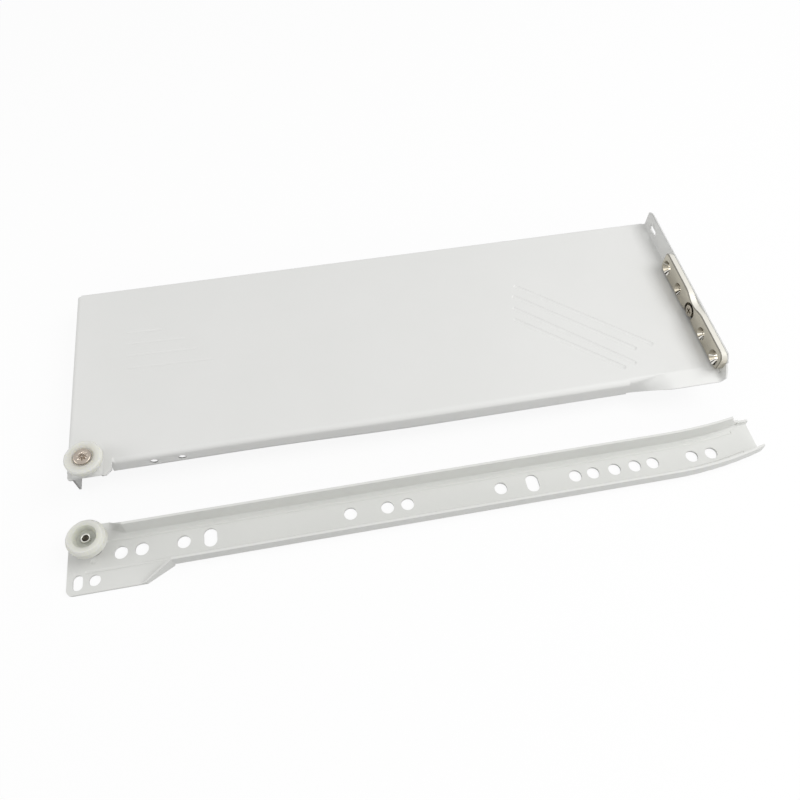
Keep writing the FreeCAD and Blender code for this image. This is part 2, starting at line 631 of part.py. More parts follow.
rear = Drawing(side, "rear_flange_section", "front").outline([
    (fold + 0.5, -side_sheet), (side_sheet, -side_sheet, side_bend), (side_sheet, -rear_depth), (0, -rear_depth),
    (0, 0, fold), (fold + 0.5, 0)])
pad(side, "rear_flange", rear, side_height - hem_fold, True)
front_fold = front_bend + side_sheet
front = Drawing(side, "front_flange_section", "front", front_low).outline([
    (side_length - fold - 0.5, -side_sheet), (side_length, -side_sheet, front_fold), (side_length, front_depth),
    (side_length - side_sheet, front_depth), (side_length - side_sheet, 0, front_bend),
    (side_length - fold - 0.5, 0)])
pad(side, "front_flange", front, side_height - front_top + front_low, True)
corners = Drawing(side, "front_corners_outline", "end", side_length - side_sheet)
for tip, way in ((-front_low, 1), (side_height - front_top, -1)):
    corners.outline([
        (tip - 1 * way, front_depth - front_bevel - 1), (tip - 1 * way, front_depth + 1),
        (tip + front_bevel * way + 1 * way, front_depth + 1)])
cut(side, "front_corners", corners, side_sheet, True)

# Raised seat for the roller, hollow behind, and the pressed boss on it
raised = Drawing(side, "seat_outline", "top").outline([
    (side_roller_along - seat_half, -lug_drop), (side_roller_along + seat_half, -lug_drop),
    (side_roller_along + seat_half, seat_top, seat_corner), (side_roller_along - seat_half, seat_top, seat_corner)])
pad(side, "roller_seat", raised, seat_rise, lean=30)
hollow = Drawing(side, "seat_hollow_outline", "top", -side_sheet).outline([
    (side_roller_along - seat_half + side_sheet, -lug_drop - 1),
    (side_roller_along + seat_half - side_sheet, -lug_drop - 1),
    (side_roller_along + seat_half - side_sheet, seat_top - side_sheet, seat_corner - side_sheet),
    (side_roller_along - seat_half + side_sheet, seat_top - side_sheet, seat_corner - side_sheet)])
cut(side, "seat_hollow", hollow, seat_rise, True)
cone(side, "roller_boss", "Additive", "top", (side_roller_along, side_roller_up, 0), boss_base, boss_top,
     boss_height)
cone(side, "boss_hollow", "Subtractive", "top", (side_roller_along, side_roller_up, -side_sheet),
     boss_base - side_sheet, boss_top - side_sheet, boss_height)
hole = Drawing(side, "rivet_hole_outline", "top").circle(side_roller_along, side_roller_up, pin_radius)
cut(side, "rivet_hole", hole, boss_height, True)

# Screw holes in the flanges
holes = Drawing(side, "base_holes_outline", "front", -base_under - side_sheet)
for place in (base_hole_first, base_hole_second):
    holes.circle(place, -base_hole_inward, base_hole_radius)
cut(side, "base_holes", holes, side_sheet, True)
holes = Drawing(side, "rear_holes_outline", "end")
for step in (0, 1):
    holes.circle(rear_hole_first + rear_hole_step * step, -rear_hole_inward, rear_hole_radius)
cut(side, "rear_holes", holes, side_sheet, True)
holes = Drawing(side, "front_holes_outline", "end", side_length - side_sheet)
for step in (-1, 1):
    holes.circle(bracket_middle + outer_hole * step, bracket_line, outer_hole_radius + adjust)
    holes.circle(bracket_middle + inner_hole * step, bracket_line, inner_hole_radius + adjust)
holes.circle(bracket_middle, bracket_line, screw_radius + screw_gap)
holes.slot((top_slot - top_slot_half, top_slot_out), (top_slot + top_slot_half, top_slot_out), top_slot_radius)
cut(side, "front_holes", holes, side_sheet, True)

# Two groups of shallow pressed lines on the outer face
grooves = Drawing(side, "pressed_lines", "top")
for index, (row, run) in enumerate(zip(groove_rows, groove_runs)):
    group = "front" if index < 4 else "rear"
    start = front_grooves if group == "front" else rear_grooves
    grooves.slot((start, row), (start + run, row - run * GROOVE_SLOPES[group]), groove_half)
cut(side, "pressed_grooves", grooves, groove_depth, lean=65)

# Rivet and roller of the drawer side

rivet_x = side_along + side_roller_along
rivet_y = side_up + side_roller_up
rivet_z = rear_depth
side_roller_low = boss_height + end_gap
side_roller_high = side_roller_low + side_roller_width
side_head_low = side_roller_high - side_recess_depth + end_gap
rivet = new_body("side_rivet", rivet_x, rivet_y, rivet_z)
back = boss_height - side_sheet
profile = Drawing(rivet, "profile", "front").outline([
    (0, back - 0.8), (pin_radius + 0.9, back - 0.8), (pin_radius + 1.3, back), (pin_radius, back),
    (pin_radius, side_head_low), (side_head_radius, side_head_low),
    (side_head_radius, side_head_low + side_head_height - 0.35),
    (side_head_radius - 0.5, side_head_low + side_head_height), (0, side_head_low + side_head_height)])
turn(rivet, "headed_rivet", profile)
wheel = new_body("side_roller", rivet_x, rivet_y, rivet_z + side_roller_low)
turn(wheel, "roller", roller_profile(wheel, side_roller_radius, side_roller_width,
                                    (back_bevel_in, back_bevel_deep), (front_bevel_in, front_bevel_in),
                                    (side_recess, side_floor, side_recess_depth)))

# Front bracket, which slides up or down on the front flange by its slot

bracket = new_body("front_bracket", side_along + side_length - side_sheet - bracket_gap, side_up + bracket_middle,
                   rear_depth)


def bracket_outline(name, depth, inset, waist):
    """The bracket's outline at a depth from its back, drawn in by an inset, with its waist."""
    end = bracket_half - inset
    low = bracket_inner + inset
    high = bracket_outer - inset
    corner = bracket_corner - inset
    return Drawing(bracket, name, "end", -depth).outline([
        (-end, low, corner), (-waist_half, low), (-waist_floor, low + inner_waist), (waist_floor, low + inner_waist),
        (waist_half, low), (end, low, corner), (end, high, corner), (waist_half, high),
        (waist_floor, high - waist), (-waist_floor, high - waist), (-waist_half, high), (-end, high, corner)])


face_start = bracket_thick - bracket_edge
pad(bracket, "base_plate", bracket_outline("base_outline", bracket_base, as_length(0), base_waist), bracket_base)
between(bracket, "scooped_plate", bracket_outline("scoop_start", bracket_base, as_length(0), base_waist),
        bracket_outline("scoop_end", face_start, as_length(0), outer_waist))
between(bracket, "bevelled_face", bracket_outline("bevel_start", face_start, as_length(0), outer_waist),
        bracket_outline("bevel_end", bracket_thick, bracket_edge, outer_waist))
holes = Drawing(bracket, "holes_outline", "end")
for step in (-1, 1):
    holes.circle(outer_hole * step, bracket_line, outer_hole_radius)
    holes.circle(inner_hole * step, bracket_line, inner_hole_radius)
holes.slot((-adjust, bracket_line), (adjust, bracket_line), screw_radius + 0.5)
cut(bracket, "holes", holes, bracket_thick)
recess = Drawing(bracket, "recess_outline", "end", -bracket_thick)
recess.slot((-recess_slide, bracket_line), (recess_slide, bracket_line), recess_half)
cut(bracket, "screw_recess", recess, recess_depth, True)
for name, step in (("lower", -1), ("upper", 1)):
    cone(bracket, "%s_countersink" % name, "Subtractive", "end", (outer_hole * step, bracket_line, -bracket_thick),
         countersink_radius, outer_hole_radius, countersink_depth)
    cone(bracket, "%s_small_sink" % name, "Subtractive", "end", (inner_hole * step, bracket_line, -bracket_thick),
         inner_sink_radius, inner_hole_radius, inner_sink_depth)

# Screw of the front bracket, with a cross recess in its head

screw = new_body("bracket_screw", side_along + side_length, side_up + bracket_middle, rear_depth + bracket_line)
seat = side_sheet + bracket_gap + bracket_thick - recess_depth + screw_gap
shank = Drawing(screw, "shank_outline", "end", -seat).circle(0, 0, screw_radius)
pad(screw, "shank", shank, seat + screw_tip)
head = Drawing(screw, "head_outline", "end", -seat - screw_head_height).circle(0, 0, screw_head_radius)
pad(screw, "head", head, screw_head_height)
for name, wide, tall in (("level", cross_half, cross_bar), ("upright", cross_bar, cross_half)):
    bar = Drawing(screw, "%s_bar_outline" % name, "end", -seat - screw_head_height).outline([
        (-wide, -tall), (wide, -tall), (wide, tall), (-wide, tall)])
    cut(screw, "%s_bar" % name, bar, cross_depth, True)

# Check every object and write the files

doc.recompute()
for thing in doc.Objects:
    if "Invalid" in thing.State or "Error" in thing.State or "Touched" in thing.State:
        raise ValueError("%s is not right: %s" % (thing.Name, thing.State))
    if thing.TypeId == "Sketcher::SketchObject":
        if thing.solve() != 0:
            raise ValueError("%s does not solve" % thing.Name)
os.makedirs("parts", exist_ok=True)
for body in tree:
    shape = body.Shape
    if shape.isNull() or not shape.isValid() or len(shape.Solids) != 1:
        raise ValueError("%s is not one sound solid" % body.Label)
    print(body.Label, round(shape.Volume, 1), [round(v, 2) for v in (
        shape.BoundBox.XMin, shape.BoundBox.XMax, shape.BoundBox.YMin, shape.BoundBox.YMax, shape.BoundBox.ZMin,
        shape.BoundBox.ZMax)])
    shape.exportStep("parts/%s.step" % body.Label)
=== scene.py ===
import bmesh
import bpy
import math
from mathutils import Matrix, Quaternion, Vector


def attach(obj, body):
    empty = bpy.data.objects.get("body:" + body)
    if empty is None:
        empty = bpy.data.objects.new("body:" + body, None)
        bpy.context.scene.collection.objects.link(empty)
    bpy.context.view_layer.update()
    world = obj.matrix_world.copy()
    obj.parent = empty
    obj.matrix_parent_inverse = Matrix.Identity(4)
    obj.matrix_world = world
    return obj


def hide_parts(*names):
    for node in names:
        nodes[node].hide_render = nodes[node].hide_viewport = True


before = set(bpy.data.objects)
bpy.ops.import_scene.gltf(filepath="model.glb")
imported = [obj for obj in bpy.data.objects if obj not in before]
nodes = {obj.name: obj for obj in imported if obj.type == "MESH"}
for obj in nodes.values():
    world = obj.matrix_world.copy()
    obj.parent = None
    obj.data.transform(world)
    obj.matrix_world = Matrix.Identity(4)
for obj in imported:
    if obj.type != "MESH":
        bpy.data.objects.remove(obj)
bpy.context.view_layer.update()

MM = 0.001

# Camera: the photograph's view, from the near side and above, with a slight roll
CAMERA_PLACE = Vector((0.0913, -0.1483, 0.3309))
CAMERA_AIM = Vector((0.1345, 0.0551, 0.010))
CAMERA_ROLL = math.radians(1.475)
CAMERA_LENS = 32.86
SENSOR_WIDTH = 36.0
CLIP_NEAR = 0.01
CLIP_FAR = 20

# Light: name, place, aim, width and power of each lamp, then the room and the floor
LAMPS = (("key", (0.76, 0.0, 0.85), (0.15, 0.07, 0), 0.6, 4.5),
         ("front_fill", (0.5, -0.5, 0.22), (0.22, 0.04, 0.01), 0.3, 0.7),
         ("left_fill", (-0.45, 0.05, 0.3), (0.3, 0.08, 0.02), 0.3, 0.55))
ROOM_WHITE = (1, 1, 1, 1)
ROOM_LIGHT = 0.57
FLOOR_SEEN = (0.95, 0.95, 0.95, 1)
FLOOR_THROW = (0.5, 0.5, 0.5, 1)
FLOOR_GLOW = 0.9
FLOOR_SIZE = 8
FLOOR_PLACE = (0.13, 0.05, -0.0002)

# Colours, as linear values
WHITE_COAT = (0.80, 0.80, 0.785, 1)
COAT_SHADE = (0.765, 0.768, 0.75, 1)
RUNNER_COAT = (0.755, 0.758, 0.735, 1)
RUNNER_SHADE = (0.715, 0.72, 0.695, 1)
NYLON_RIM = (0.72, 0.72, 0.675, 1)
NYLON_HUB = (0.50, 0.51, 0.44, 1)
SIDE_HUB = (0.60, 0.575, 0.51, 1)
NICKEL_FACE = (0.72, 0.68, 0.585, 1)
# Painted light: lighter colour for the bracket's sides that face up
NICKEL_SIDE_PAINTED_LIGHT = (0.67, 0.655, 0.605, 1)
# Painted glints in the countersinks
PAINTED_GLINT_NICKEL = (0.92, 0.90, 0.85, 1)
# Painted shade: the bracket's dark rounded edge, round its screw, in its countersinks, and in the runner
# rivet's hollow
PAINTED_SHADE_NICKEL = (0.05, 0.045, 0.035, 1)
SCREW_STEEL = (0.72, 0.66, 0.56, 1)
SINK_BROWN = (0.46, 0.42, 0.34, 1)
SIDE_RIVET = (0.56, 0.49, 0.42, 1)
RUNNER_RIVET = (0.68, 0.68, 0.63, 1)
BUSH_STEEL = (0.36, 0.35, 0.33, 1)

# Surfaces
BUMP_DEPTH = 0.0001
BUMP_DETAIL = 2
CLOUDINESS = 0.11
NYLON_DEPTH = 0.006

# Roller axes in metres, and in mm the radius where a roller's colour reaches its rim
RUNNER_AXIS = (-0.0222, 0.0047)
SIDE_AXIS = (-0.02025, 0.0394)
ROLLER_RIM = 7.5

# Steps round a turned piece, a hole, a groove's bar and a bend
TURN_STEPS = 72
HOLE_STEPS = 36
BAR_STEPS = 48
BEND_STEPS = 7
BEND_ANGLE = 15

# Rivet of the drawer side, in mm: heights, radii of the flat top, and the star's lobes, depth and reach
SIDE_RIVET_FOOT = 19.8
SIDE_RIVET_UNDER = 27.0
SIDE_RIVET_TOP = 28.0
SIDE_RIVET_RADII = (3.7, 3.2, 2.7, 2.2, 1.7, 1.2, 0.8, 0.45)
SIDE_RIVET_STAR = (8, 0.75, 2.7)

# Rivet of the runner, in mm: radius and height of each ring, and the radii over which painted shade darkens
# its hollow
RUNNER_RIVET_RINGS = ((3.4, 0.0), (2.0, 0.8), (2.0, 12.1), (2.2, 12.1), (2.3, 12.3), (2.3, 12.7),
                      (2.15, 13.0), (1.85, 13.05), (1.55, 12.9), (1.4, 12.4), (1.0, 12.15), (0.4, 12.05))
RUNNER_PIT_SHADE = (1.5, 1.7)

# Front bracket in metres: the screw's height and distance out, and the face's place along the side
SCREW_ROW = 0.0753
SCREW_OUT = 0.024
BRACKET_FACE = 0.29922

# Front bracket in mm: half its length, its inner edge, corners and waist
BRACKET_HALF = 37.8
BRACKET_INNER = 0.6
BRACKET_CORNER = 2.6
LOW_CORNER = 4.4
WAIST_REACH = 10.0
WAIST_STEPS = 6
WAIST_SHAPE = 0.8
INNER_WAIST = 1.1

# Rings of the bracket in mm: depth from the face, outer edge, outer waist and inset
BRACKET_RINGS = ((4.0, 11.0, 0.9, 0.0), (0.5, 12.3, 2.2, 0.0), (0.3, 12.3, 2.2, 0.1), (0.0, 12.3, 2.2, 0.6))

# Holes of the bracket in mm: places along it, wide and narrow radius and depth of the countersinks
END_HOLES = (-32, 32)
END_SINK = (4.2, 2.2, 1.9)
MID_HOLES = (-16, 16)
MID_SINK = (3.5, 1.7, 1.7)
CUT_START = -1
CUT_END = 5
SCREW_SEAT = ((CUT_START, 4.45, 0.4), (1.6, 4.45, 0.4), (1.6, 2.1, 1.5), (CUT_END, 2.1, 1.5))
# Radii over which the painted shade round the screw fades out
SCREW_SHADE_RING = (4.55, 4.75)

# Material slots of the bracket's countersinks: painted glints, brown facets and painted shade
PAINTED_GLINT_SLOT = 1
BROWN_SLOT = 2
PAINTED_SHADE_SLOT = 3

# Drawer side in metres: the wall's face, its lower rear corner and the band that holds the wall
WALL_FACE = 0.019
SIDE_CORNER = (-0.03075, 0.0377, WALL_FACE)
WALL_HEIGHTS = (0.0184, 0.01901)
WALL_ROWS = (0.0435, 0.1455)
SAME_HEIGHT = 0.00001
JOIN_REACH = 0.000002
SLICE_START = -0.03
SLICE_STEP = 0.011
SLICES = range(2, 31)

# Base flange of the side: its bounds and run in metres, and how much it grows in mm
BASE_ROW = 0.0415
BASE_ENDS = (-0.011, 0.3015)
BASE_ROUND = 0.0025
BASE_LIP = 0.0112
BOW_START = 0.05
BOW_RUN = 0.1
BASE_OUTWARD = 0.9
BASE_DEEPER = 0.5
BASE_BOW = 1.5

# Front flange of the side: its bounds in metres, and how much it and its top corner grow in mm
FRONT_START = 0.302
FRONT_LIP = 0.0285
FRONT_DEEPER = 0.9
CORNER_ROW = 0.148
CORNER_HEIGHTS = (0.0255, 0.0265)
CORNER_HIGHER = 2.0

# Soft grooves of the drawer side: both ends along and up the wall, and the depth, in mm
GROOVE_ROUND = 2.0
GROOVES = (((242.6, 75.5), (304.0, 23.3), 0.6), ((239.8, 68.4), (294.0, 22.0), 0.6),
           ((237.8, 59.7), (290.6, 12.9), 0.6), ((236.0, 52.0), (284.0, 11.1), 0.6),
           ((28, 79.8), (46, 79.2), 0.2), ((28, 72.2), (58, 71.1), 0.2),
           ((28, 64.4), (64, 63.1), 0.2), ((28, 56.3), (72, 54.7), 0.2))
BAR_END_ANGLES = (12, 40, 65)

# Front foot of the drawer side, in mm from the lower rear corner, with a sheet 1 mm thick
FOOT_START = 284
FOOT_OPENING = 24.0
FOOT_END = 332.6
FOOT_ROW = 3.8
FOOT_BEND = 2.5
FOOT_DROP = math.radians(13)
FOLDED_WIDTH = 8.0
FLAT_WIDTH = 9.0
FLANGE_INSIDE = 334.0
FLANGE_OUTSIDE = 335.0
TAB_LAP = 0.4
LOWEST_PEAK = 2.4
FULL_FOLD_TOP = 4.0

# Fold at the foot's end, in mm: height up the wall, top of the fold and inner radius of each ring
FOOT_FOLDS = ((-0.5, 7.2, 1.4), (-1.8, 6.4, 1.6), (-3.0, 5.3, 2.8), (-4.0, 4.0, 3.2), (-4.9, 2.8, 3.2),
              (-5.4, 1.6, 3.2))


def nodes_of(material):
    return material.node_tree.nodes


def link(material, start, end):
    material.node_tree.links.new(start, end)


def new_material(name):
    material = bpy.data.materials.new(name)
    material.use_nodes = True
    return material


def shader_of(material):
    return nodes_of(material)["Principled BSDF"]


def noise(material, scale, detail=3.0):
    """Noise in the object's own metres."""
    place = nodes_of(material).new("ShaderNodeTexCoord")
    texture = nodes_of(material).new("ShaderNodeTexNoise")
    texture.inputs["Scale"].default_value = scale
    texture.inputs["Detail"].default_value = detail
    link(material, place.outputs["Object"], texture.inputs["Vector"])
    return texture.outputs["Fac"]


def maths(material, kind, first, second=None):
    """One arithmetic step; each input is a number or a socket."""
    node = nodes_of(material).new("ShaderNodeMath")
    node.operation = kind
    for socket, value in zip(node.inputs, (first, second)):
        if value is None:
            continue
        if isinstance(value, (int, float)):
            socket.default_value = value
        else:
            link(material, value, socket)
    return node.outputs["Value"]


def parts_of(material, vector):
    """The X, Y and Z outputs of a vector."""
    node = nodes_of(material).new("ShaderNodeSeparateXYZ")
    link(material, vector, node.inputs["Vector"])
    return node.outputs


def distance_from(material, axes, centre):
    """Distance in metres from a line that runs along the axis not named."""
    place = nodes_of(material).new("ShaderNodeTexCoord")
    parts = parts_of(material, place.outputs["Object"])
    squares = []
    for axis, middle in zip(axes, centre):
        offset = maths(material, "SUBTRACT", parts[axis], middle)
        squares.append(maths(material, "MULTIPLY", offset, offset))
    return maths(material, "SQRT", maths(material, "ADD", squares[0], squares[1]))


def bump(material, scale, strength):
    """A fine uneven surface."""
    node = nodes_of(material).new("ShaderNodeBump")
    node.inputs["Strength"].default_value = strength
    node.inputs["Distance"].default_value = BUMP_DEPTH
    link(material, noise(material, scale, BUMP_DETAIL), node.inputs["Height"])
    link(material, node.outputs["Normal"], shader_of(material).inputs["Normal"])


def spread(material, value, low, high, start=0.0, end=1.0):
    """Map a value from one range to another, held at its ends."""
    node = nodes_of(material).new("ShaderNodeMapRange")
    node.inputs["From Min"].default_value = start
    node.inputs["From Max"].default_value = end
    node.inputs["To Min"].default_value = low
    node.inputs["To Max"].default_value = high
    link(material, value, node.inputs["Value"])
    return node.outputs["Result"]


def blend_colours(material, value, first, second):
    """Go from the first colour to the second as the value goes from 0 to 1."""
    node = nodes_of(material).new("ShaderNodeMix")
    node.data_type = "RGBA"
    for name, colour in (("A", first), ("B", second)):
        socket = [i for i in node.inputs if i.name == name and i.type == "RGBA"][0]
        if isinstance(colour, tuple):
            socket.default_value = colour
        else:
            link(material, colour, socket)
    factor = [i for i in node.inputs if i.name == "Factor" and i.type == "VALUE"][0]
    link(material, value, factor)
    return [o for o in node.outputs if o.type == "RGBA"][0]


def darker(colour, share):
    return tuple(c * share for c in colour[:3]) + (1,)


def powder_coat(name, light=WHITE_COAT, shade=COAT_SHADE):
    """White powder coat: faint cloudiness in the colour and a fine orange-peel surface."""
    material = new_material(name)
    shader = shader_of(material)
    link(material, blend_colours(material, noise(material, 28), shade, light), shader.inputs["Base Color"])
    link(material, spread(material, noise(material, 320), 0.38, 0.52), shader.inputs["Roughness"])
    shader.inputs["IOR"].default_value = 1.45
    bump(material, 900, 0.1)
    return material


def nylon(name, axis, hub, hub_colour):
    """Translucent off-white nylon, darker from the hub's radius inwards, a little cloudy."""
    material = new_material(name)
    shader = shader_of(material)
    radius = distance_from(material, "XY", axis)
    outward = spread(material, radius, 0.0, 1.0, hub * MM, ROLLER_RIM * MM)
    cloudy = spread(material, noise(material, 210), -CLOUDINESS, CLOUDINESS)
    mixed = maths(material, "ADD", outward, cloudy)
    link(material, blend_colours(material, mixed, hub_colour, NYLON_RIM), shader.inputs["Base Color"])
    shader.inputs["Roughness"].default_value = 0.48
    shader.inputs["IOR"].default_value = 1.5
    shader.inputs["Subsurface Weight"].default_value = 0.75
    shader.inputs["Subsurface Radius"].default_value = (1.0, 1.0, 0.8)
    shader.inputs["Subsurface Scale"].default_value = NYLON_DEPTH
    bump(material, 1200, 0.08)
    return material


def bare_metal(name, grain):
    """Metal with a fine grain, still without its colour and polish."""
    material = new_material(name)
    shader_of(material).inputs["Metallic"].default_value = 1.0
    bump(material, grain * 5, 0.15)
    return material


def metal(name, colour, rough_low, rough_high, grain, shade=0.75):
    """Plated or bare metal with an uneven polish; shade is how dark its darkest cloud is."""
    material = bare_metal(name, grain)
    shader = shader_of(material)
    clouded = blend_colours(material, noise(material, grain), darker(colour, shade), colour)
    link(material, clouded, shader.inputs["Base Color"])
    polish = spread(material, noise(material, grain * 2.5), rough_low, rough_high)
    link(material, polish, shader.inputs["Roughness"])
    return material


def nickel_plate():
    """Tumbled brown-grey face, with painted dark reflection on the rounded edge, painted light on the sides
    that face up, and painted shade round the screw.
    """
    material = bare_metal("satin_nickel", 260)
    shader = shader_of(material)
    surface = nodes_of(material).new("ShaderNodeNewGeometry")
    normal = parts_of(material, surface.outputs["Normal"])
    upward = spread(material, normal["Z"], 0.0, 1.0, 0.3, 0.9)
    # Painted shade: the rounded edge of the face is darkened
    edge = maths(material, "MULTIPLY", spread(material, normal["X"], 0.0, 1.0, -0.25, -0.5),
                 spread(material, normal["X"], 1.0, 0.0, -0.8, -0.96))
    face = blend_colours(material, noise(material, 190), darker(NICKEL_FACE, 0.72), NICKEL_FACE)
    # Painted light: the sides that face up are lighter
    sides_painted_light = blend_colours(material, upward, face, NICKEL_SIDE_PAINTED_LIGHT)
    plated = blend_colours(material, edge, sides_painted_light, PAINTED_SHADE_NICKEL)
    # Painted shade: dark round the screw
    ring = distance_from(material, "YZ", (SCREW_ROW, SCREW_OUT))
    screw_shade_mask = spread(material, ring, 1.0, 0.0, SCREW_SHADE_RING[0] * MM, SCREW_SHADE_RING[1] * MM)
    link(material, blend_colours(material, screw_shade_mask, plated, PAINTED_SHADE_NICKEL), shader.inputs["Base Color"])
    link(material, spread(material, upward, 0.26, 0.6), shader.inputs["Roughness"])
    return material


def dress(node, material):
    """Give a CAD piece its material."""
    for slot in nodes[node].material_slots:
        slot.material = material


def finish_mesh(piece, body, angle):
    """Shade by angle, and say what the piece rides on."""
    for polygon in piece.data.polygons:
        polygon.use_smooth = True
    piece.data.set_sharp_from_angle(angle=math.radians(angle))
    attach(piece, body)


def new_piece(name, mesh, *materials):
    data = bpy.data.meshes.new(name)
    mesh.to_mesh(data)
    mesh.free()
    piece = bpy.data.objects.new(name, data)
    for material in materials:
        data.materials.append(material)
    bpy.context.scene.collection.objects.link(piece)
    return piece


def close_rings(mesh, rings):
    """Skin a list of equal rings of vertices and close both ends."""
    count = len(rings[0])
    for low, high in zip(rings, rings[1:]):
        for i in range(count):
            j = (i + 1) % count
            mesh.faces.new((low[i], low[j], high[j], high[i]))
    mesh.faces.new(list(reversed(rings[0])))
    mesh.faces.new(rings[-1])
    bmesh.ops.recalc_face_normals(mesh, faces=mesh.faces)


def cut_away(piece, tool):
    """Take the tool's shape out of a piece for good."""
    change = piece.modifiers.new("cut", "BOOLEAN")
    change.operation = "DIFFERENCE"
    change.solver = "MANIFOLD"
    change.object = tool
    bpy.context.view_layer.update()
    view = bpy.context.evaluated_depsgraph_get()
    result = bpy.data.meshes.new_from_object(piece.evaluated_get(view))
    piece.modifiers.clear()
    piece.data = result
    bpy.data.objects.remove(tool)


def star_dip(star, radius, angle):
    """How deep a pressed star is at a place of a rivet's top, in mm."""
    lobes, depth, reach = star
    if radius >= reach:
        return 0.0
    fade = math.sin(math.pi * radius / reach)
    return depth * fade * (0.5 + 0.5 * math.cos(lobes * angle))


def turned(name, axis, profile, material, star=None):
    """A turned piece on an upright axis, from radii and heights in mm, with a star pressed into its top."""
    mesh = bmesh.new()
    rings = []
    top = profile[-1][1]
    for radius, height in profile:
        ring = []
        for i in range(TURN_STEPS):
            angle = 2 * math.pi * i / TURN_STEPS
            dip = star_dip(star, radius, angle) if star and height == top else 0.0
            ring.append(mesh.verts.new((axis[0] + radius * MM * math.cos(angle),
                                        axis[1] + radius * MM * math.sin(angle), (height - dip) * MM)))
        rings.append(ring)
    close_rings(mesh, rings)
    return new_piece(name, mesh, material)


def make_side_rivet():
    """Rivet of the drawer side: a brown plated head with a crimped star."""
    foot = SIDE_RIVET_FOOT
    under = SIDE_RIVET_UNDER
    profile = [(0.3, foot), (2.9, foot), (3.3, foot + 0.8), (2.0, foot + 0.8), (2.0, under), (4.0, under),
               (4.15, under + 0.2), (4.15, under + 0.6), (4.0, under + 0.85)]
    profile += [(radius, SIDE_RIVET_TOP) for radius in SIDE_RIVET_RADII]
    steel = metal("side_rivet_steel", SIDE_RIVET, 0.16, 0.3, 420, 0.55)
    rivet = turned("side_rivet_head", SIDE_AXIS, profile, steel, SIDE_RIVET_STAR)
    finish_mesh(rivet, "side", 50)
    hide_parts("side_rivet")


def make_runner_rivet():
    """Rivet of the runner: a small head whose hollow is darkened by painted shade."""
    steel = metal("runner_rivet_steel", RUNNER_RIVET, 0.2, 0.35, 500)
    radius = distance_from(steel, "XY", RUNNER_AXIS)
    # Painted shade in the rivet's hollow
    pit_shade = spread(steel, radius, 1.0, 0.0, RUNNER_PIT_SHADE[0] * MM, RUNNER_PIT_SHADE[1] * MM)
    link(steel, blend_colours(steel, pit_shade, RUNNER_RIVET, PAINTED_SHADE_NICKEL), shader_of(steel).inputs["Base Color"])
    rivet = turned("runner_rivet_head", RUNNER_AXIS, RUNNER_RIVET_RINGS, steel)
    finish_mesh(rivet, "runner", 50)
    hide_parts("runner_rivet")


def waist_points(way, edge, depth):
    """The dip of a long edge at the screw, from one side of it to the other, in mm."""
    points = []
    for step in range(2 * WAIST_STEPS + 1):
        along = way * WAIST_REACH * (1 - step / WAIST_STEPS)
        dip = depth * (0.5 + 0.5 * math.cos(math.pi * along / WAIST_REACH)) ** WAIST_SHAPE
        points.append((along, edge - way * dip))
    return points


def bracket_outline(outer, waist):
    """The bracket's outline as points along the bracket and out from the wall, in mm."""
    points = []
    for way_along, way_out, start in ((1, -1, -90), (1, 1, 0), (-1, 1, 90), (-1, -1, 180)):
        corner = LOW_CORNER if start == 90 else BRACKET_CORNER
        x = way_along * (BRACKET_HALF - corner)
        y = outer - corner if way_out > 0 else BRACKET_INNER + corner
        for step in range(BEND_STEPS):
            angle = math.radians(start + step * BEND_ANGLE)
            points.append((x + corner * math.cos(angle), y + corner * math.sin(angle)))
        if start == 0:
            points += waist_points(1, outer, waist)
        if start == 180:
            points += waist_points(-1, BRACKET_INNER, INNER_WAIST)
    return points


def inset(points, amount):
    """Draw a closed outline in by an amount."""
    moved = []
    count = len(points)
    for i, (x, y) in enumerate(points):
        before = points[i - 1]
        after = points[(i + 1) % count]
        dx = after[0] - before[0]
        dy = after[1] - before[1]
        length = math.hypot(dx, dy) or 1.0
        moved.append((x - dy / length * amount, y + dx / length * amount))
    return moved


def countersink(wide, narrow, depth):
    """Steps of a cutter for a countersunk hole: depth from the face, radius and stretch, in mm."""
    return ((CUT_START, wide, 0), (0.0, wide, 0), (depth, narrow, 0), (CUT_END, narrow, 0))


def sink_slot(angle, along):
    """Painted glint, brown or painted shade for a countersink's facet, in stripes round the hole."""
    wave = math.cos(9 * angle + along) + 0.5 * math.cos(14 * angle + 1.3)
    if math.cos(angle) < 0.1:
        return PAINTED_GLINT_SLOT if wave > 0.0 else PAINTED_SHADE_SLOT
    return PAINTED_GLINT_SLOT if wave > 1.2 else BROWN_SLOT


def hole_cutter(mesh, along, steps, painted_streaks=False):
    """A turned cutter on the bracket's row of holes, stretched along the bracket for a slot; its facets can
    get painted glints and painted shade.
    """
    rings = []
    for depth, radius, stretch in steps:
        ring = []
        for i in range(HOLE_STEPS):
            angle = 2 * math.pi * i / HOLE_STEPS
            shift = stretch * MM * (1 if math.cos(angle) > 0 else -1)
            ring.append(mesh.verts.new((BRACKET_FACE + depth * MM,
                                        SCREW_ROW + along * MM + radius * MM * math.cos(angle) + shift,
                                        SCREW_OUT + radius * MM * math.sin(angle))))
        rings.append(ring)
    before = set(mesh.faces)
    close_rings(mesh, rings)
    if not painted_streaks:
        return
    for face in set(mesh.faces) - before:
        if len(face.verts) == 4:
            middle = face.calc_center_median()
            angle = math.atan2(middle.z - SCREW_OUT, middle.y - SCREW_ROW - along * MM)
            face.material_index = sink_slot(angle, along)


